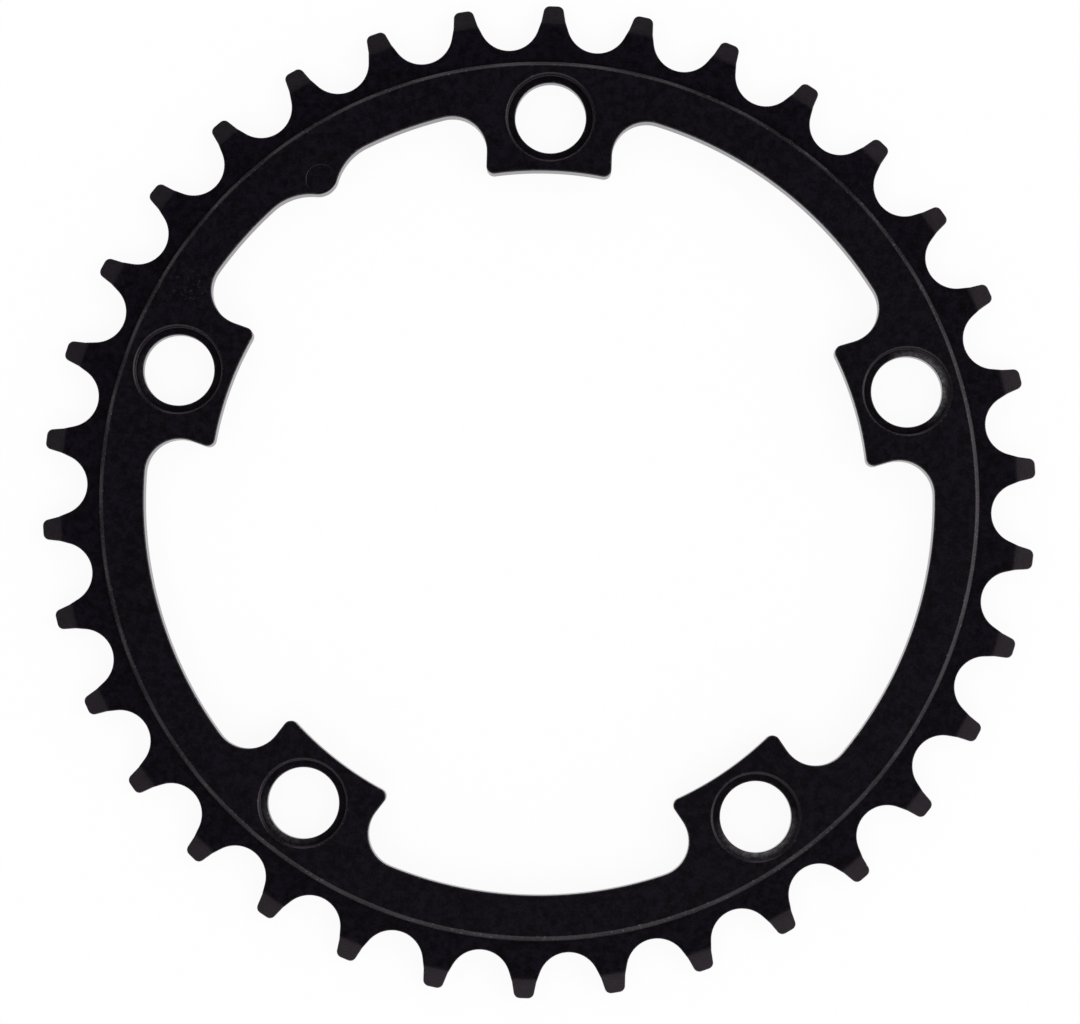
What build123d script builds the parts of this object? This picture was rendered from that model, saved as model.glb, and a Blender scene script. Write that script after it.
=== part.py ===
# Bicycle chainring, one piece turned and milled from aluminium plate.
# The back face lies on z = 0, the counterbored face looks up +Z, the axis of rotation is Z.
# One bolt hole and one tooth stand on +Y.
import os
from math import asin, ceil, cos, degrees, radians, sin, tan

from build123d import *

# Chain
chain_pitch = 12.7
roller_diameter = 7.75

# Teeth
root_clearance = 0.1  # root circle below a seated roller
seat_clearance = 0.525  # seat arc larger than the roller
flank_angle = 24.0  # flank lean from the middle of the gap, below the pitch circle
tip_flank_angle = 15.5  # the same above the pitch circle
tooth_rise = 2.5  # tip above the pitch circle
tip_corner_radius = 0.9
tip_thickness = 0.8
bevel_width = 2.8  # turned bevel on both sides of the tips

# Turned section
tooth_thickness = 2.1
front_step = 1.0  # band face above the tooth plate
back_step = 0.4  # sloped at 45 degrees
crest_chamfer = 0.65  # outer edge of the band face
root_margin = 1.7  # tooth plate between the step and the tooth roots
band_width = 5.9

# Bolt tabs
bolt_circle_diameter = 110.0
bolt_count = 5
bolt_hole_diameter = 10.2
bolt_ledge = 1.15  # counterbore floor around the hole
counterbore_depth = 1.3
counterbore_chamfer = 0.2
counterbore_wall = 1.2  # least metal between a counterbore and the crest chamfer
tab_side_wall = 2.75
tab_nose_wall = 1.55
tab_corner_radius = 1.1
tab_root_radius = 5.0

# Locating lug on the inner edge, midway between two bolts
lug_radius = 3.0
lug_blend_radius = 8.0
lug_spot_wall = 0.8
lug_spot_inset = 1.0
lug_spot_depth = 0.3

# Bolt tab sizes
bolt_radius = bolt_circle_diameter / 2
hole_radius = bolt_hole_diameter / 2
counterbore_radius = hole_radius + bolt_ledge
tab_width = 2 * (counterbore_radius + tab_side_wall)
tab_inner_radius = bolt_radius - counterbore_radius - tab_nose_wall

# The smallest toothed rim that clears the counterbores
seat_depth = roller_diameter / 2 + root_clearance
least_crest_radius = bolt_radius + counterbore_radius + counterbore_wall
least_pitch_radius = least_crest_radius + crest_chamfer + root_margin + seat_depth
tooth_count = ceil(180 / degrees(asin(chain_pitch / 2 / least_pitch_radius)))
tooth_angle = 360 / tooth_count

# Radii
pitch_radius = chain_pitch / 2 / sin(radians(tooth_angle / 2))
root_radius = pitch_radius - seat_depth
tip_radius = pitch_radius + tooth_rise
foot_radius = root_radius - root_margin
crest_radius = foot_radius - crest_chamfer
window_radius = crest_radius - band_width

# Heights
tooth_front = back_step + tooth_thickness
body_thickness = tooth_front + front_step
tip_drop = (tooth_thickness - tip_thickness) / 2

# Directions
first_bolt = 90.0
lug_direction = first_bolt + 180 / bolt_count


def at_radius(shapes, radius):
    return shapes.filter_by(lambda shape: abs(shape.center().length - radius) < 1e-4)


# Space between two teeth, along +X: roller seat, flank up to the pitch circle, steeper flank above it
seat_radius = roller_diameter / 2 + seat_clearance
seat_center = root_radius + seat_radius
flank_start = (
    seat_center - seat_radius * sin(radians(flank_angle)),
    seat_radius * cos(radians(flank_angle)),
)
flank_knee = (
    pitch_radius,
    flank_start[1] + (pitch_radius - flank_start[0]) * tan(radians(flank_angle)),
)
flank_end = (
    tip_radius + tooth_rise,
    flank_knee[1] + 2 * tooth_rise * tan(radians(tip_flank_angle)),
)
with BuildSketch() as tooth_gap:
    with BuildLine():
        ThreePointArc(flank_start, (root_radius, 0), (flank_start[0], -flank_start[1]))
        side = Polyline(flank_start, flank_knee, flank_end)
        mirror(side, about=Plane.XZ)
        Line(flank_end, (flank_end[0], -flank_end[1]))
    make_face()

# Outline of the teeth
with BuildSketch() as tooth_outline:
    Circle(tip_radius)
    with PolarLocations(0, tooth_count, start_angle=first_bolt + tooth_angle / 2):
        add(tooth_gap.sketch, mode=Mode.SUBTRACT)
    fillet(at_radius(tooth_outline.vertices(), tip_radius), radius=tip_corner_radius)

# Opening inside the band, between the bolt tabs
with BuildSketch() as opening:
    Circle(window_radius)
    with PolarLocations(0, bolt_count, start_angle=first_bolt):
        Rectangle(2 * window_radius, tab_width, align=(Align.MIN, Align.CENTER), mode=Mode.SUBTRACT)
    Circle(tab_inner_radius)
    fillet(at_radius(opening.vertices(), tab_inner_radius), radius=tab_corner_radius)
    fillet(at_radius(opening.vertices(), window_radius), radius=tab_root_radius)
    tab_vertices = opening.vertices()
    with PolarLocations(window_radius, 1, start_angle=lug_direction):
        Circle(lug_radius, mode=Mode.SUBTRACT)
    fillet(opening.vertices() - tab_vertices, radius=lug_blend_radius)

with BuildPart() as chainring:
    # Turned blank
    with BuildSketch(Plane.XZ) as section:
        with BuildLine():
            Polyline(
                (tab_inner_radius, 0),
                (foot_radius - back_step, 0),
                (foot_radius, back_step),
                (tip_radius - bevel_width, back_step),
                (tip_radius, back_step + tip_drop),
                (tip_radius, tooth_front - tip_drop),
                (tip_radius - bevel_width, tooth_front),
                (foot_radius, tooth_front),
                (foot_radius, body_thickness - crest_chamfer),
                (crest_radius, body_thickness),
                (tab_inner_radius, body_thickness),
                close=True,
            )
        make_face()
    revolve(axis=Axis.Z)

    # Milled teeth and opening
    with BuildSketch():
        add(tooth_outline.sketch)
        add(opening.sketch, mode=Mode.SUBTRACT)
    extrude(amount=body_thickness, mode=Mode.INTERSECT)

    # Bolt holes
    with Locations((0, 0, body_thickness)):
        with PolarLocations(bolt_radius, bolt_count, start_angle=first_bolt):
            CounterBoreHole(hole_radius, counterbore_radius, counterbore_depth)

    # Rims of the counterbores, every inner edge of the front face but the opening's
    front_face = chainring.faces().filter_by(GeomType.PLANE).sort_by(Axis.Z)[-1]
    counterbore_rims = front_face.inner_wires().sort_by(SortBy.LENGTH)[:-1]
    chamfer(counterbore_rims.edges(), length=counterbore_chamfer)

    # Shallow round spot on the lug
    with Locations((0, 0, body_thickness)):
        with PolarLocations(window_radius - lug_spot_inset, 1, start_angle=lug_direction):
            Hole(lug_radius - lug_spot_wall, depth=lug_spot_depth)

chainring.part.label = "chainring"
os.makedirs("parts", exist_ok=True)
export_step(chainring.part, "parts/chainring.step")
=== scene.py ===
from math import atan2, cos, hypot, pi, radians, sin, sqrt, tan

import bmesh
import bpy
from mathutils import Matrix, Vector
from mathutils.geometry import delaunay_2d_cdt


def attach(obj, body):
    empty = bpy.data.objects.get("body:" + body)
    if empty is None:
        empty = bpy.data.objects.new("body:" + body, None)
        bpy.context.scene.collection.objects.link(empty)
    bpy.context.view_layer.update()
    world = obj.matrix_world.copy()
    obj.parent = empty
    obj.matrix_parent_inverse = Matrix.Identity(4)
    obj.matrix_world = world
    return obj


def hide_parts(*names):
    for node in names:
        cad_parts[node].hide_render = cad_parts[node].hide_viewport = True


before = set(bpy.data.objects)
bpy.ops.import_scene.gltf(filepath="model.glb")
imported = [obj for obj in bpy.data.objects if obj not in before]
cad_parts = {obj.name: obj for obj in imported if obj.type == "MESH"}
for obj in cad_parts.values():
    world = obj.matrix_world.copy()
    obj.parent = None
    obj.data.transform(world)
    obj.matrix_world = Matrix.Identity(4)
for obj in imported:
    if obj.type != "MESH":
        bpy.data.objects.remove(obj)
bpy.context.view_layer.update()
mm = 0.001  # sizes are written in millimetres, the scene is in metres


def hexColour(code):
    # sRGB hex to linear
    parts = [int(code[k:k + 2], 16) / 255 for k in (1, 3, 5)]
    return (*[p / 12.92 if p <= 0.04045 else ((p + 0.055) / 1.055) ** 2.4 for p in parts], 1)


def addNode(tree, kind, inputs, **settings):
    # inputs: socket name or number to a value, a socket to link, or a list of sockets to link
    node = tree.nodes.new(kind)
    for name, value in settings.items():
        setattr(node, name, value)
    for name, value in inputs.items():
        links = value if isinstance(value, list) else [value]
        if isinstance(links[0], bpy.types.NodeSocket):
            for link in links:
                tree.links.new(link, node.inputs[name])
        else:
            node.inputs[name].default_value = value
    return node


def newTree(name, inputs):
    # geometry tree with named inputs, each with its kind, and one output
    tree = bpy.data.node_groups.new(name, "GeometryNodeTree")
    for socket, kind in inputs.items():
        tree.interface.new_socket(socket, in_out="INPUT", socket_type="NodeSocket" + kind)
    tree.interface.new_socket("Geometry", in_out="OUTPUT", socket_type="NodeSocketGeometry")
    return tree


def polar(radius, angle):
    return Vector((radius * cos(angle), radius * sin(angle)))


def arc(centre, radius, start, end, steps, metal):
    # places along an arc with the direction into the metal: 1 away from the centre, -1 towards it
    angles = [start + (end - start) * k / steps for k in range(steps + 1)]
    return [(Vector(centre) + polar(radius, a), polar(metal, a)) for a in angles]


def turned(run, angle):
    # places turned round the axis
    turn = Matrix.Rotation(angle, 2)
    return [(turn @ p, turn @ n) for p, n in run]


def flipped(run):
    # places mirrored about the X axis, last one first
    return [(Vector((p.x, -p.y)), Vector((n.x, -n.y))) for p, n in run[::-1]]


def reachCircle(start, along, radius):
    # how far it is from a place to a circle round the axis
    ahead = start.dot(along)
    return sqrt(radius ** 2 - start.length_squared + ahead ** 2) - ahead


def roundCorners(points, radii, worn, steps=3, guard=0.03):
    # profile with its corners turned into arcs; the third number marks a worn edge
    run = [(*points[0], 0)]
    for before, corner, after, radius, wear in zip(points, points[1:], points[2:], radii, worn):
        corner = Vector(corner)
        back = (Vector(before) - corner).normalized()
        on = (Vector(after) - corner).normalized()
        turn = pi - back.angle(on)
        reach = radius * tan(turn / 2)
        centre = corner + (back + on).normalized() * radius / cos(turn / 2)
        first = corner + back * reach - centre
        last = corner + on * reach - centre
        run.append((*(corner + back * (reach + guard)), 0))
        for k in range(steps + 1):
            part = k / steps * turn
            run.append((*(centre + (first * sin(turn - part) + last * sin(part)) / sin(turn)), wear))
        run.append((*(corner + on * (reach + guard)), 0))
    return run + [(*points[-1], 0)]


def newMesh():
    bm = bmesh.new()
    bm.verts.layers.float.new("edgeWear")
    return bm


def addRow(bm, places, wear=0):
    layer = bm.verts.layers.float["edgeWear"]
    row = [bm.verts.new(Vector(place) * mm) for place in places]
    for corner in row:
        corner[layer] = wear
    return row


def bridge(bm, rows, closed=False):
    # smooth quads between neighbouring rows
    for low, high in zip(rows, rows[1:]):
        count = len(low)
        for k in range(count if closed else count - 1):
            turn = (k + 1) % count
            corners = list(dict.fromkeys((low[k], low[turn], high[turn], high[k])))
            if len(corners) > 2:
                bm.faces.new(corners).smooth = True


def fillFlat(bm, loops):
    # flat face inside the first closed row of corners and outside the others
    corners, rims = [], []
    for loop in loops:
        rims.append(range(len(corners), len(corners) + len(loop)))
        corners += loop
    places = [(corner.co / mm).xy for corner in corners]
    made = delaunay_2d_cdt(places, [], [list(rim) for rim in rims], 1, 1e-5)
    faces = []
    for triangle, within in zip(made[2], made[5]):
        if within == [0]:
            faces.append(bm.faces.new([corners[made[3][k][0]] for k in triangle]))
            faces[-1].smooth = False
    return faces


def makeObject(bm, name, upFace):
    # faces outwards: a face known to look up says which way round they are
    bm.normal_update()
    bmesh.ops.recalc_face_normals(bm, faces=bm.faces)
    if upFace.normal.z < 0:
        bmesh.ops.reverse_faces(bm, faces=bm.faces)
    mesh = bpy.data.meshes.new(name)
    bm.to_mesh(mesh)
    bm.free()
    made = bpy.data.objects.new(name, mesh)
    bpy.context.scene.collection.objects.link(made)
    return made


# The blank and its teeth, millimetres and degrees
ring = {
    "teeth": 34,
    "chainPitch": 12.7,
    "rootDepth": 3.975,  # below the pitch circle
    "tipRise": 2.5,  # above it
    "seatRadius": 4.4,
    "flankAngle": 24.0,
    "tipFlankAngle": 15.5,  # above the pitch circle
    "tipCornerRadius": 0.9,
    "bevelWidth": 2.8,
    "bevelBlend": 0.2,  # to each side of where the bevel begins
    "tipThickness": 0.8,
    "plateBack": 0.4,
    "plateFront": 2.5,
    "thickness": 3.5,
    "rootMargin": 1.78,  # plate between the step and the roots
    "crestChamfer": 0.57,
    "bandWidth": 5.9,
    "crestRound": 0.3,
    "crestLand": 0.3,  # flat that is turned with the step, on the band
    "stepRound": 0.3,
    "footRound": 0.05,
    "footLand": 0.25,  # and on the plate
    "toothEdgeRound": 0.12,
    "toothEdgeLand": 0.2,  # flat and wall beside a tooth's edge
    "stepColumns": 8,  # to each tooth
    "firstTooth": 90.0,
    "weld": 0.002,  # corners closer than this are one
}
toothAngle = 2 * pi / ring["teeth"]
halfAngle = toothAngle / 2
pitchRadius = ring["chainPitch"] / 2 / sin(halfAngle)
rootRadius = pitchRadius - ring["rootDepth"]
tipRadius = pitchRadius + ring["tipRise"]
bevelStart = tipRadius - ring["bevelWidth"]
footRadius = rootRadius - ring["rootMargin"]
footEnd = footRadius + ring["footLand"]
middle = (ring["plateBack"] + ring["plateFront"]) / 2
bevelSlope = (ring["plateFront"] - middle - ring["tipThickness"] / 2) / ring["bevelWidth"]
# 1 is the front of the ring, -1 the back
crestRadii = {1: footRadius - ring["crestChamfer"], -1: footRadius - ring["plateBack"]}
flatRadii = {side: crest - ring["crestLand"] for side, crest in crestRadii.items()}
faceHeights = {1: ring["thickness"], -1: 0.0}
windowRadius = crestRadii[1] - ring["bandWidth"]

# turned step from the band face to the plate: in front a chamfer over a short wall, behind a slope
stepProfiles = {
    1: ([(flatRadii[1], ring["thickness"]), (crestRadii[1], ring["thickness"]),
         (footRadius, ring["thickness"] - ring["crestChamfer"]), (footRadius, ring["plateFront"]),
         (footEnd, ring["plateFront"])],
        [ring["crestRound"], ring["stepRound"], ring["footRound"]], [1, 0, 0]),
    -1: ([(flatRadii[-1], 0), (crestRadii[-1], 0), (footRadius, ring["plateBack"]),
          (footEnd, ring["plateBack"])],
         [ring["stepRound"], ring["stepRound"]], [1, 0]),
}


def plateHeight(radius):
    # front of the tooth plate: flat, then the turned bevel
    blend = ring["bevelBlend"]
    past = radius - (bevelStart - blend)
    if past <= 0:
        return ring["plateFront"]
    if past < 2 * blend:
        return ring["plateFront"] - bevelSlope * past * past / (4 * blend)
    return ring["plateFront"] - bevelSlope * (past - blend)


def plateAt(side, radius, depth=0):
    # height of either face of the plate, or of a place below it
    return middle + side * (plateHeight(radius) - depth - middle)


# One gap between two teeth, middle of the gap on +X: seat, flank, tip flank, tip corner, tip
flank, tipFlank = radians(ring["flankAngle"]), radians(ring["tipFlankAngle"])
seatCentre = Vector((rootRadius + ring["seatRadius"], 0))
land = ring["toothEdgeLand"]
edge = roundCorners([(land, 0), (0, 0), (0, land)], [ring["toothEdgeRound"]], [1])
half = arc(seatCentre, ring["seatRadius"], pi, pi / 2 + flank, steps=14, metal=1)
along, into = polar(1, flank), polar(1, pi / 2 + flank)
flankStart = half[-1][0]
marks = []  # columns where the bevel begins
for radius in (bevelStart - ring["bevelBlend"], bevelStart, bevelStart + ring["bevelBlend"]):
    step = reachCircle(flankStart + into * land, along, radius)
    marks.append(len(half))
    half.append((flankStart + along * step, into))
knee = flankStart + along * ((pitchRadius - flankStart.x) / along.x)
along, intoTip = polar(1, tipFlank), polar(1, pi / 2 + tipFlank)
half.append((knee, (into + intoTip).normalized()))
inner = knee + intoTip * ring["tipCornerRadius"]
step = reachCircle(inner, along, tipRadius - ring["tipCornerRadius"])
half += [(knee + along * step * k / 3, intoTip) for k in (1, 2)]
cornerCentre = inner + along * step
cornerEnd = atan2(cornerCentre.y, cornerCentre.x)
half += arc(cornerCentre, ring["tipCornerRadius"], tipFlank - pi / 2, cornerEnd, steps=8, metal=-1)
half += arc((0, 0), tipRadius, cornerEnd, halfAngle, steps=4, metal=-1)[1:]
outline = flipped(half)[:-1] + half
zero = len(half) - 1  # column in the middle of the gap

gapMesh = newMesh()
walls = []
for side in (1, -1):
    rows = []
    for offset, depth, wear in edge:
        places = [p + n * offset for p, n in outline]
        heights = [plateAt(side, p.length, depth) for p in places]
        rows.append(addRow(gapMesh, [(*p, z) for p, z in zip(places, heights)], wear))
    walls += rows[::side]
    brink = rows[0]

    # turned step
    profile = roundCorners(*stepProfiles[side])
    columns = [-halfAngle + toothAngle * k / ring["stepColumns"] for k in range(ring["stepColumns"] + 1)]
    rows = [addRow(gapMesh, [(*polar(r, a), z) for a in columns], wear) for r, z, wear in profile]
    bridge(gapMesh, rows)
    foot = rows[-1]

    # bevels of the two half teeth, a fan of quads between the bevel's edge and the tip
    tops = []
    for way in (1, -1):
        reaches = [brink[zero + way * k] for k in range(marks[2], len(half))]
        count = len(reaches) - 1
        rows = []
        for mark in marks:
            start = brink[zero + way * mark]
            radius, angle = hypot(start.co.x, start.co.y) / mm, atan2(start.co.y, start.co.x)
            z = plateAt(side, radius)
            angles = [angle + (way * halfAngle - angle) * k / count for k in range(1, count + 1)]
            rows.append([start] + addRow(gapMesh, [(*polar(radius, a), z) for a in angles]))
        for part in (1 / 3, 2 / 3):
            row = [rows[2][0]]
            for low, high in zip(rows[2][1:], reaches[1:]):
                place = low.co.lerp(high.co, part) / mm
                place.z = plateAt(side, hypot(place.x, place.y))
                row += addRow(gapMesh, [place])
            rows.append(row)
        bridge(gapMesh, rows + [reaches])
        tops.append(rows[0])

    # flat of the plate
    corners = foot + tops[0][::-1] + brink[zero - marks[0] + 1:zero + marks[0]][::-1] + tops[1]
    plateFace = gapMesh.faces.new(corners)
    plateFace.smooth = False
    if side == 1:
        gapFront = plateFace
bridge(gapMesh, walls)
toothGap = makeObject(gapMesh, "toothGap", gapFront)
print("tooth gap", len(toothGap.data.polygons), "faces")


# Counterbored bolt seats on five tabs, millimetres and degrees
bolts = {
    "count": 5,
    "circleRadius": 55.0,
    "holeRadius": 5.1,
    "counterboreRadius": 6.25,
    "counterboreDepth": 1.3,
    "edgeBreak": 0.2,
    "edgeRound": 0.08,
    "holeRound": 0.15,
    "floorRound": 0.15,
    "frontLand": 0.15,  # flat round the broken edge
    "backLand": 0.3,  # flat round the hole
    "firstBolt": 90.0,
    "columns": 96,
    # seat floors with a painted reflection of a light near the lens, pale like bare metal: towards, half
    # width, strength
    "glintSeats": {1: (195, 35, 0.12), 2: (228, 50, 0.32), 3: (282, 65, 1.0), 4: (32, 60, 1.0)},
    "glintFade": 1.2,  # over 1, the full strength reaches out from the hole
    "glintHeight": 0.02,  # above and below the floor of the counterbore
}
boltAngle = 2 * pi / bolts["count"]
firstBolt = radians(bolts["firstBolt"])
top, hole, bore = ring["thickness"], bolts["holeRadius"], bolts["counterboreRadius"]
rim = bore + bolts["edgeBreak"]
floorHeight = top - bolts["counterboreDepth"]
seatProfile = roundCorners(
    [(rim + bolts["frontLand"], top), (rim, top), (bore, top - bolts["edgeBreak"]), (bore, floorHeight),
     (hole, floorHeight), (hole, 0), (hole + bolts["backLand"], 0)],
    [bolts["edgeRound"], bolts["edgeRound"], bolts["floorRound"], bolts["holeRound"], bolts["holeRound"]],
    [1, 1, 0, 1, 1])
seatMesh = newMesh()
turns = [2 * pi * k / bolts["columns"] for k in range(bolts["columns"])]
rows = [addRow(seatMesh, [(*polar(r, a), z) for a in turns], wear) for r, z, wear in seatProfile]
bridge(seatMesh, rows, closed=True)
seatMesh.faces.ensure_lookup_table()
boltSeat = makeObject(seatMesh, "boltSeat", seatMesh.faces[0])
print("bolt seat", len(boltSeat.data.polygons), "faces")


# Inner edge of the band: five bays between the tabs, the first with the lug, millimetres
tabs = {
    "halfWidth": 9.0,
    "noseRadius": 47.2,  # from the axis
    "cornerRadius": 1.1,
    "rootRadius": 5.0,
    "edgeRound": 0.2,  # along the whole inner edge
    "edgeLand": 0.3,  # flat beside it
}
lug = {
    "radius": 3.0,
    "blendRadius": 8.0,
    "spotRadius": 2.2,
    "spotInset": 1.0,
    "spotDepth": 0.06,
    "spotColumns": 96,
}
corner, root = tabs["cornerRadius"], tabs["rootRadius"]
cornerY, rootY = tabs["halfWidth"] - corner, tabs["halfWidth"] + root
cornerX = sqrt((tabs["noseRadius"] + corner) ** 2 - cornerY ** 2)
rootX = sqrt((windowRadius - root) ** 2 - rootY ** 2)
noseEnd, windowStart = atan2(cornerY, cornerX), atan2(rootY, rootX)
tabSide = arc((0, 0), tabs["noseRadius"], 0, noseEnd, steps=12, metal=1)
tabSide += arc((cornerX, cornerY), corner, pi + noseEnd, pi / 2, steps=10, metal=-1)
tabSide += arc((rootX, rootY), root, -pi / 2, windowStart, steps=16, metal=1)
tabSide = turned(tabSide, -boltAngle / 2)
windowEnd = boltAngle / 2 - windowStart  # from the middle of the bay

plainHalf = arc((0, 0), windowRadius, -windowEnd, 0, steps=20, metal=1)
blend = lug["blendRadius"]
blendX = ((windowRadius - blend) ** 2 - (lug["radius"] + blend) ** 2 + windowRadius ** 2) / 2 / windowRadius
blendY = sqrt((windowRadius - blend) ** 2 - blendX ** 2)
blendEnd = atan2(blendY, blendX)
lugTouch = atan2(blendY, blendX - windowRadius)
lugHalf = arc((0, 0), windowRadius, -windowEnd, -blendEnd, steps=10, metal=1)
lugHalf += arc((blendX, -blendY), blend, -blendEnd, pi - lugTouch, steps=14, metal=1)[1:]
lugHalf += arc((windowRadius, 0), lug["radius"], -lugTouch, -pi, steps=14, metal=-1)[1:]

opening = []
for k in range(bolts["count"]):
    bayHalf = tabSide[1:] + (plainHalf if k else lugHalf)[1:]
    bay = bayHalf + flipped(bayHalf)[1:]
    opening += turned(bay, firstBolt + boltAngle * (k + 0.5))

# wall of the opening, then the flat faces between it, the step and the bolt seats
land = tabs["edgeLand"]
wallProfile = roundCorners([(land, top), (0, top), (0, 0), (land, 0)], [tabs["edgeRound"]] * 2, [1, 1])
webMesh = newMesh()
rows = [addRow(webMesh, [(*(p + n * o), z) for p, n in opening], wear) for o, z, wear in wallProfile]
bridge(webMesh, rows, closed=True)
firstGap = radians(ring["firstTooth"]) + halfAngle
stepCount = ring["teeth"] * ring["stepColumns"]
angles = [firstGap - halfAngle + 2 * pi * k / stepCount for k in range(stepCount)]
for side, brink, reach in ((1, rows[0], seatProfile[0][0]), (-1, rows[-1], seatProfile[-1][0])):
    height = faceHeights[side]
    loops = [addRow(webMesh, [(*polar(flatRadii[side], a), height) for a in angles]), brink]
    for k in range(bolts["count"]):
        angle = firstBolt + boltAngle * k
        centre = polar(bolts["circleRadius"], angle)
        loops.append(addRow(webMesh, [(*(centre + polar(reach, angle + a)), height) for a in turns]))
    faces = fillFlat(webMesh, loops)
    if side == 1:
        webFront = faces[0]
chainring = makeObject(webMesh, "chainring_visual", webFront)
print("band and tabs", len(chainring.data.polygons), "faces")


# Black anodised aluminium: a dyed oxide skin on fine-blasted metal. It gives the eye a deep,
# faintly violet black with a soft satin sheen, grey along bevels, pale specks where it is rubbed,
# and pale crescents on four seat floors that are a painted reflection of a light near the lens.
anodised = {
    "colour": "#010003",
    "mottle": "#0b0814",
    # pale bare metal, for the worn specks and for the painted reflection on the seat floors
    "bareAndGlint": "#817e84",
    "sheen": "#ffecf6",  # the dye tints what it reflects
    "specular": 0.4,
    "roughness": 0.34,  # blasted band and tabs
    "turnedRoughness": 0.315,  # tooth plate and bevels
    "milledRoughness": 0.2,  # upright walls of the opening, holes and teeth
    "milledRange": (0.1, 0.5),  # height of the normal, from milled to blasted
    "unevenness": 0.12,  # of the roughness, from mottle to mottle
    "grain": 0.3,  # mm, drawn coarser than the real 0.03 mm so that it shows
    "grainHeight": 0.016,  # mm
    "crestGrain": 0.035,  # mm, the step's chamfer is pitted deeper
    "mottleSize": 1.0,  # mm
    "mottleRange": (0.38, 0.62),  # of its noise, from one colour to the other
    "wearSize": 0.5,  # mm
    "speckRange": (0.58, 0.7),  # of the wear's noise, from no speck to a full one
    "speckStrength": 0.35,  # along worn edges, on the chamfer and in the scuff
    "streakRange": (0.38, 0.64),  # of the wear's noise, on the rubbed seats
    "streakLeast": 0.3,
    "scuffPlace": (-51.0, 29.0, 3.5),  # mm, on the band
    "scuffReach": 4.0,  # mm
    "scuffStrength": 0.45,  # in its middle
}


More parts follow.
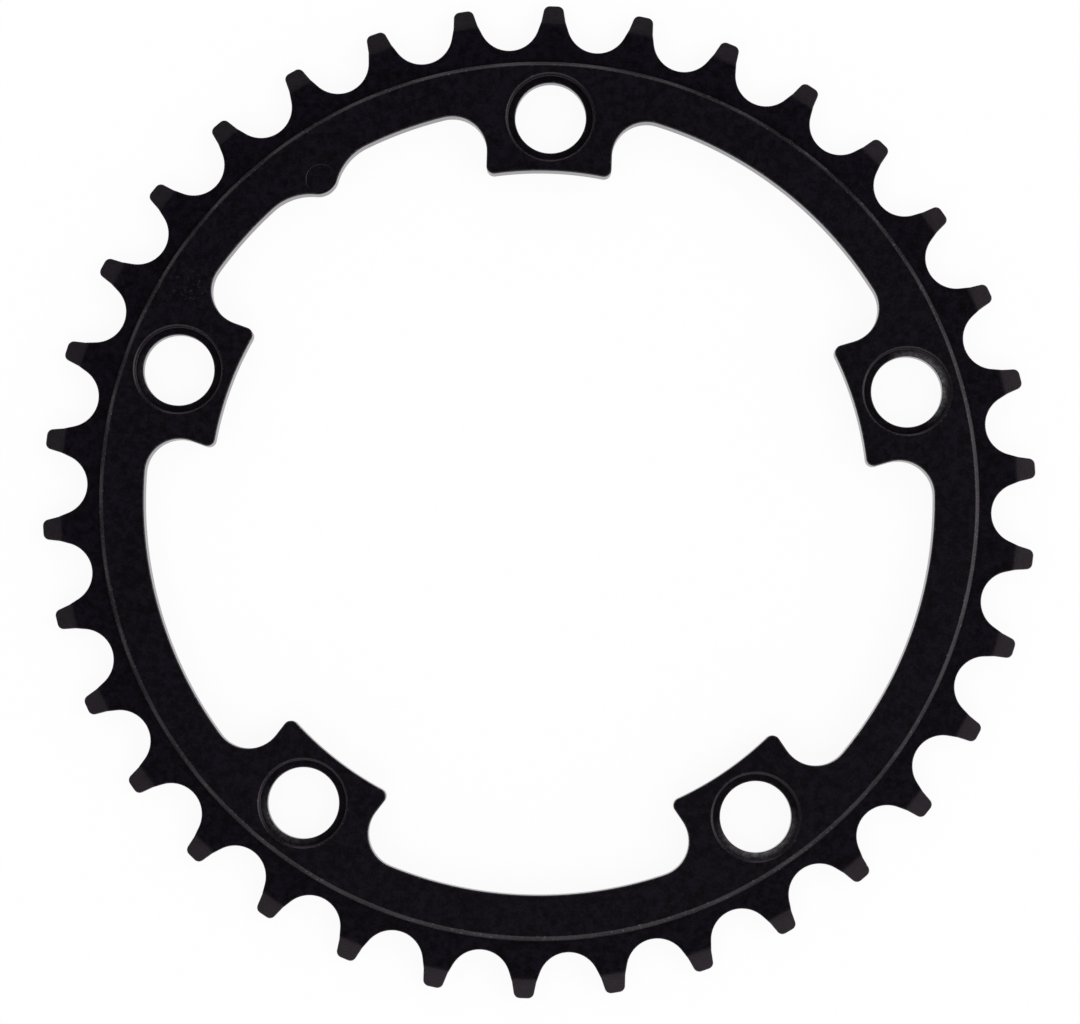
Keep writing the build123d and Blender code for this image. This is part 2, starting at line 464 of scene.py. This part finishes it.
def anodisedAluminium():
    material = bpy.data.materials.new("satin_black_anodised_aluminium")
    material.use_nodes = True
    tree = material.node_tree
    tree.nodes.clear()
    coordinates = addNode(tree, "ShaderNodeTexCoord", {}).outputs
    place = coordinates["Object"]
    grain = addNode(tree, "ShaderNodeTexNoise", {
        "Vector": place, "Scale": 1 / (anodised["grain"] * mm), "Detail": 2.0, "Roughness": 0.6})
    mottle = addNode(tree, "ShaderNodeTexNoise", {
        "Vector": place, "Scale": 1 / (anodised["mottleSize"] * mm), "Detail": 3.0, "Roughness": 0.8})
    wear = addNode(tree, "ShaderNodeTexNoise", {
        "Vector": place, "Scale": 1 / (anodised["wearSize"] * mm), "Detail": 4.0, "Roughness": 0.65})
    edges = addNode(tree, "ShaderNodeAttribute", {}, attribute_name="edgeWear")
    seats = addNode(tree, "ShaderNodeAttribute", {}, attribute_name="seatWear")

    # mottled black
    low, high = anodised["mottleRange"]
    clouds = addNode(tree, "ShaderNodeMapRange", {
        "Value": mottle.outputs["Fac"], "From Min": low, "From Max": high})
    tone = addNode(tree, "ShaderNodeMix", {
        "Factor": clouds.outputs["Result"], 6: hexColour(anodised["colour"]),
        7: hexColour(anodised["mottle"])}, data_type="RGBA")

    # specks on worn edges, in the scuff and on the chamfer
    low, high = anodised["speckRange"]
    patches = addNode(tree, "ShaderNodeMapRange", {
        "Value": wear.outputs["Fac"], "From Min": low, "From Max": high,
        "To Max": anodised["speckStrength"]})
    away = addNode(tree, "ShaderNodeVectorMath", {
        0: place, 1: Vector(anodised["scuffPlace"]) * mm}, operation="DISTANCE")
    scuff = addNode(tree, "ShaderNodeMapRange", {
        "Value": away.outputs["Value"], "From Max": anodised["scuffReach"] * mm,
        "To Min": anodised["scuffStrength"], "To Max": 0.0})
    across = addNode(tree, "ShaderNodeVectorMath", {0: place, 1: (1, 1, 0)}, operation="MULTIPLY")
    radius = addNode(tree, "ShaderNodeVectorMath", {0: across.outputs[0]}, operation="LENGTH")
    crest = addNode(tree, "ShaderNodeMath", {
        0: radius.outputs["Value"], 1: (footRadius + crestRadii[1]) / 2 * mm,
        2: (footRadius - crestRadii[1]) / 2 * mm}, operation="COMPARE")
    worn = addNode(tree, "ShaderNodeMath", {
        0: edges.outputs["Fac"], 1: scuff.outputs["Result"]}, operation="MAXIMUM")
    worn = addNode(tree, "ShaderNodeMath", {
        0: worn.outputs[0], 1: crest.outputs[0]}, operation="MAXIMUM")
    specks = addNode(tree, "ShaderNodeMath", {
        0: worn.outputs[0], 1: patches.outputs["Result"]}, operation="MULTIPLY")

    # painted reflection on the seat floors, broken into streaks
    low, high = anodised["streakRange"]
    streaks = addNode(tree, "ShaderNodeMapRange", {
        "Value": wear.outputs["Fac"], "From Min": low, "From Max": high,
        "To Min": anodised["streakLeast"]})
    # amount of pale colour: the painted reflection on the seats plus the worn specks
    bareAndGlint = addNode(tree, "ShaderNodeMath", {
        0: seats.outputs["Fac"], 1: streaks.outputs["Result"], 2: specks.outputs[0]},
        operation="MULTIPLY_ADD")
    colour = addNode(tree, "ShaderNodeMix", {
        "Factor": bareAndGlint.outputs[0], 6: tone.outputs[2],
        7: hexColour(anodised["bareAndGlint"])}, data_type="RGBA")

    # gloss of the blasted, turned and milled surfaces
    gloss = addNode(tree, "ShaderNodeMapRange", {
        "Value": radius.outputs["Value"], "From Min": crestRadii[1] * mm, "From Max": footRadius * mm,
        "To Min": anodised["roughness"] - anodised["unevenness"] / 2,
        "To Max": anodised["turnedRoughness"] - anodised["unevenness"] / 2})
    gloss = addNode(tree, "ShaderNodeMath", {
        0: mottle.outputs["Fac"], 1: anodised["unevenness"], 2: gloss.outputs["Result"]},
        operation="MULTIPLY_ADD")
    facing = addNode(tree, "ShaderNodeSeparateXYZ", {"Vector": coordinates["Normal"]}).outputs["Z"]
    level = addNode(tree, "ShaderNodeMath", {0: facing}, operation="ABSOLUTE")
    low, high = anodised["milledRange"]
    flat = addNode(tree, "ShaderNodeMapRange", {
        "Value": level.outputs[0], "From Min": low, "From Max": high})
    gloss = addNode(tree, "ShaderNodeMix", {
        "Factor": flat.outputs["Result"], 2: anodised["milledRoughness"], 3: gloss.outputs[0]})

    # blasted grain
    relief = addNode(tree, "ShaderNodeMapRange", {
        "Value": crest.outputs[0], "To Min": anodised["grainHeight"] * mm,
        "To Max": anodised["crestGrain"] * mm})
    bump = addNode(tree, "ShaderNodeBump", {
        "Height": grain.outputs["Fac"], "Distance": relief.outputs["Result"], "Strength": 1.0})
    skin = addNode(tree, "ShaderNodeBsdfPrincipled", {
        "Base Color": colour.outputs[2], "Roughness": gloss.outputs[0],
        "Specular IOR Level": anodised["specular"], "Specular Tint": hexColour(anodised["sheen"]),
        "Normal": bump.outputs["Normal"]})
    addNode(tree, "ShaderNodeOutputMaterial", {"Surface": skin.outputs["BSDF"]})
    return material


def roundTheAxis():
    # copies of one shape round the axis, each moved out by the radius
    tree = newTree("roundTheAxis", {
        "Shape": "Object", "Count": "Int", "Radius": "Float", "First Angle": "Float"})
    given = addNode(tree, "NodeGroupInput", {}).outputs
    shape = addNode(tree, "GeometryNodeObjectInfo", {"Object": given["Shape"]})
    points = addNode(tree, "GeometryNodePoints", {"Count": given["Count"]})
    index = addNode(tree, "GeometryNodeInputIndex", {})
    share = addNode(tree, "ShaderNodeMath", {0: index.outputs[0], 1: given["Count"]}, operation="DIVIDE")
    angle = addNode(tree, "ShaderNodeMath", {
        0: share.outputs[0], 1: 2 * pi, 2: given["First Angle"]}, operation="MULTIPLY_ADD")
    turn = addNode(tree, "FunctionNodeAxisAngleToRotation", {
        "Axis": (0, 0, 1), "Angle": angle.outputs[0]})
    copies = addNode(tree, "GeometryNodeInstanceOnPoints", {
        "Points": points.outputs[0], "Instance": shape.outputs["Geometry"],
        "Rotation": turn.outputs[0]})
    out = addNode(tree, "ShaderNodeCombineXYZ", {"X": given["Radius"]})
    moved = addNode(tree, "GeometryNodeTranslateInstances", {
        "Instances": copies.outputs[0], "Translation": out.outputs[0]})
    addNode(tree, "NodeGroupOutput", {"Geometry": moved.outputs[0]})
    return tree


def wholeRing(copies):
    # web, tooth gaps and bolt seats joined into one closed skin, with the spot sunk into the lug
    tree = newTree("wholeRing", {
        "Geometry": "Geometry", "Tooth Gap": "Object", "Bolt Seat": "Object", "Teeth": "Int",
        "Bolts": "Int", "First Gap Angle": "Float", "First Bolt Angle": "Float",
        "Bolt Circle Radius": "Float", "Spot Radius": "Float", "Spot Depth": "Float",
        "Spot Columns": "Int", "Spot Place": "Vector", "Weld Distance": "Float", "Material": "Material"})
    given = addNode(tree, "NodeGroupInput", {}).outputs
    gaps = addNode(tree, "GeometryNodeGroup", {}, node_tree=copies)
    seats = addNode(tree, "GeometryNodeGroup", {}, node_tree=copies)
    for group, names in (
            (gaps, {"Shape": "Tooth Gap", "Count": "Teeth", "First Angle": "First Gap Angle"}),
            (seats, {"Shape": "Bolt Seat", "Count": "Bolts", "First Angle": "First Bolt Angle",
                     "Radius": "Bolt Circle Radius"})):
        for name, source in names.items():
            tree.links.new(given[source], group.inputs[name])
    joined = addNode(tree, "GeometryNodeJoinGeometry", {
        "Geometry": [given["Geometry"], gaps.outputs[0], seats.outputs[0]]})
    real = addNode(tree, "GeometryNodeRealizeInstances", {"Geometry": joined.outputs[0]})
    merged = addNode(tree, "GeometryNodeMergeByDistance", {
        "Geometry": real.outputs[0], "Distance": given["Weld Distance"]})

    # the cutter stands half out of the face, and its sides slope
    depth = addNode(tree, "ShaderNodeMath", {0: given["Spot Depth"], 1: 2.0}, operation="MULTIPLY")
    wide = addNode(tree, "ShaderNodeMath", {
        0: given["Spot Radius"], 1: given["Spot Depth"]}, operation="ADD")
    narrow = addNode(tree, "ShaderNodeMath", {
        0: given["Spot Radius"], 1: given["Spot Depth"]}, operation="SUBTRACT")
    cutter = addNode(tree, "GeometryNodeMeshCone", {
        "Vertices": given["Spot Columns"], "Radius Top": wide.outputs[0],
        "Radius Bottom": narrow.outputs[0], "Depth": depth.outputs[0]})
    sunk = addNode(tree, "GeometryNodeTransform", {
        "Geometry": cutter.outputs["Mesh"], "Translation": given["Spot Place"]})
    cut = addNode(tree, "GeometryNodeMeshBoolean", {
        "Mesh 1": merged.outputs[0], "Mesh 2": sunk.outputs[0]}, operation="DIFFERENCE", solver="EXACT")
    crisp = addNode(tree, "GeometryNodeSetShadeSmooth", {
        "Geometry": cut.outputs["Mesh"], "Selection": cut.outputs["Intersecting Edges"],
        "Shade Smooth": False}, domain="EDGE")
    skin = addNode(tree, "GeometryNodeSetMaterial", {
        "Geometry": crisp.outputs[0], "Material": given["Material"]})
    addNode(tree, "NodeGroupOutput", {"Geometry": skin.outputs[0]})
    return tree


ringTree = wholeRing(roundTheAxis())
spotPlace = polar(windowRadius - lug["spotInset"], firstBolt + boltAngle / 2)
modifier = chainring.modifiers.new("wholeRing", "NODES")
modifier.node_group = ringTree
values = {
    "Tooth Gap": toothGap,
    "Bolt Seat": boltSeat,
    "Teeth": ring["teeth"],
    "Bolts": bolts["count"],
    "First Gap Angle": firstGap,
    "First Bolt Angle": firstBolt,
    "Bolt Circle Radius": bolts["circleRadius"] * mm,
    "Spot Radius": lug["spotRadius"] * mm,
    "Spot Depth": lug["spotDepth"] * mm,
    "Spot Columns": lug["spotColumns"],
    "Spot Place": Vector((*spotPlace, top - lug["spotDepth"])) * mm,
    "Weld Distance": ring["weld"] * mm,
    "Material": anodisedAluminium(),
}
for item in ringTree.interface.items_tree:
    if item.in_out == "INPUT" and item.name in values:
        modifier[item.identifier] = values[item.name]
shape = chainring.evaluated_get(bpy.context.evaluated_depsgraph_get())
finished = bpy.data.meshes.new_from_object(shape)
chainring.modifiers.remove(modifier)
chainring.data = finished
finished.materials.pop(index=0)  # the empty slot left by joining

# pale crescents on the seat floors: a painted reflection of a light near the lens, coloured like bare metal
seatWear = finished.attributes.new("seatWear", "FLOAT", "POINT")
for number, (towards, halfWidth, strength) in bolts["glintSeats"].items():
    centre = polar(bolts["circleRadius"], firstBolt + boltAngle * number)
    for corner in finished.vertices:
        x, y, z = corner.co / mm
        out = Vector((x, y)) - centre
        if abs(z - floorHeight) < bolts["glintHeight"] and out.length < bore:
            away = out.angle(polar(1, radians(towards))) / radians(halfWidth)
            across = max(0, cos(min(away, 2) * pi / 3))  # a half at the half width
            fade = min(1, bolts["glintFade"] * (bore - out.length) / (bore - hole))
            seatWear.data[corner.index].value = strength * fade * across
for helper in (toothGap, boltSeat):
    bpy.data.objects.remove(helper)
check = bmesh.new()
check.from_mesh(finished)
loose = sum(not e.is_manifold for e in check.edges)
print("chainring", len(finished.polygons), "faces,", loose, "open edges, volume",
      round(check.calc_volume() / mm ** 3), "cubic mm")
check.free()
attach(chainring, "root")
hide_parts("chainring")


# Floor, a white table top
floor = {
    "size": 10.0,  # m
    "drop": 0.1,  # mm below the part
    "colour": "#f2f2f2",
    "white": 1.03,
    "whiteShare": 0.9,  # the rest shows the shadow
}


def paleTable():
    # matt white board: plain white to the eye and in reflections, with a trace of the shadow
    material = bpy.data.materials.new("matt_white_board")
    material.use_nodes = True
    tree = material.node_tree
    tree.nodes.clear()
    path = addNode(tree, "ShaderNodeLightPath", {}).outputs
    seen = addNode(tree, "ShaderNodeMath", {
        0: path["Is Camera Ray"], 1: path["Is Glossy Ray"]}, operation="MAXIMUM")
    seen = addNode(tree, "ShaderNodeMath", {
        0: seen.outputs[0], 1: path["Is Transmission Ray"]}, operation="MAXIMUM")
    share = addNode(tree, "ShaderNodeMath", {
        0: seen.outputs[0], 1: floor["whiteShare"]}, operation="MULTIPLY")
    board = addNode(tree, "ShaderNodeBsdfDiffuse", {"Color": hexColour(floor["colour"])})
    white = addNode(tree, "ShaderNodeEmission", {"Color": (1, 1, 1, 1), "Strength": floor["white"]})
    mixed = addNode(tree, "ShaderNodeMixShader", {
        0: share.outputs[0], 1: board.outputs[0], 2: white.outputs[0]})
    addNode(tree, "ShaderNodeOutputMaterial", {"Surface": mixed.outputs[0]})
    return material


bpy.ops.mesh.primitive_plane_add(size=floor["size"], location=(0, 0, -floor["drop"] * mm))
table = bpy.context.object
table.name = "table"
table.data.materials.append(paleTable())
print("table", floor["size"], "m wide")


# Light tent: pale walls with bright panels round the foot, dark overhead where the camera looks in
tent = {
    "wall": 0.98,
    "wallFoot": 0.05,  # walls at the horizon
    "footHeight": 45.0,  # degrees above the horizon, up to here the walls brighten
    "wallHeight": 43.0,  # from here they darken again
    "openingHeight": 76.0,  # and from here up it is dark
    "openingLean": (-0.05, 0.1),  # the dark top leans to the left and to the back
    # towards and spread in degrees, gain: right, dark corner, back, front
    "panels": [(15, 54, 2.85), (48, 42, -2.3), (86, 39, 1.6), (272, 74, 0.9)],
}
world = bpy.data.worlds.new("lightTent")
bpy.context.scene.world = world
world.use_nodes = True
sky = world.node_tree
sky.nodes.clear()
direction = addNode(sky, "ShaderNodeTexCoord", {}).outputs["Generated"]
upright = addNode(sky, "ShaderNodeSeparateXYZ", {"Vector": direction}).outputs["Z"]
brightness = addNode(sky, "ShaderNodeMapRange", {
    "Value": upright, "From Min": 0.0, "From Max": sin(radians(tent["footHeight"])),
    "To Min": tent["wallFoot"], "To Max": tent["wall"]}, interpolation_type="SMOOTHSTEP").outputs["Result"]
for towards, spread, gain in tent["panels"]:
    facing = addNode(sky, "ShaderNodeVectorMath", {
        0: direction, 1: (*polar(1, radians(towards)), 0)}, operation="DOT_PRODUCT")
    panel = addNode(sky, "ShaderNodeMapRange", {
        "Value": facing.outputs["Value"], "From Min": cos(radians(spread)), "From Max": 1.0,
        "To Min": 0.0, "To Max": gain}, interpolation_type="SMOOTHSTEP")
    brightness = addNode(sky, "ShaderNodeMath", {
        0: brightness, 1: panel.outputs["Result"]}, operation="ADD").outputs[0]
overhead = addNode(sky, "ShaderNodeVectorMath", {
    0: direction, 1: Vector((*tent["openingLean"], 1)).normalized()}, operation="DOT_PRODUCT")
shade = addNode(sky, "ShaderNodeMapRange", {
    "Value": overhead.outputs["Value"], "From Min": sin(radians(tent["wallHeight"])),
    "From Max": sin(radians(tent["openingHeight"])), "To Min": 1.0, "To Max": 0.0},
    interpolation_type="SMOOTHSTEP")
lit = addNode(sky, "ShaderNodeMath", {0: brightness, 1: 0.0}, operation="MAXIMUM")
strength = addNode(sky, "ShaderNodeMath", {
    0: lit.outputs[0], 1: shade.outputs["Result"]}, operation="MULTIPLY")
glow = addNode(sky, "ShaderNodeBackground", {"Color": (1, 1, 1, 1), "Strength": strength.outputs[0]})
addNode(sky, "ShaderNodeOutputWorld", {"Surface": glow.outputs[0]})
print("light tent,", len(tent["panels"]), "panels")


# Camera, nearly straight above
view = {
    "lens": 127.782,
    "sensor": 36.0,
    "nearest": 10.0,  # mm
    "place": (4.805, -28.659, 551.177),  # mm
    "aim": (0.212, -1.844, 1.85),  # mm
    "roll": 1.75,  # degrees
}
lens = bpy.data.cameras.new("camera")
lens.lens = view["lens"]
lens.sensor_width = view["sensor"]
lens.clip_start = view["nearest"] * mm
camera = bpy.data.objects.new("camera", lens)
bpy.context.scene.collection.objects.link(camera)
forward = (Vector(view["aim"]) - Vector(view["place"])).normalized()
right = forward.cross(Vector((0, 1, 0))).normalized()
up = right.cross(forward)
roll = radians(view["roll"])
right, up = right * cos(roll) + up * sin(roll), up * cos(roll) - right * sin(roll)
facing = Matrix((right, up, -forward)).transposed().to_4x4()
camera.matrix_world = Matrix.Translation(Vector(view["place"]) * mm) @ facing
bpy.context.scene.camera = camera
bpy.context.scene.view_settings.view_transform = "Standard"
print("camera", round(view["place"][2]), "mm up")
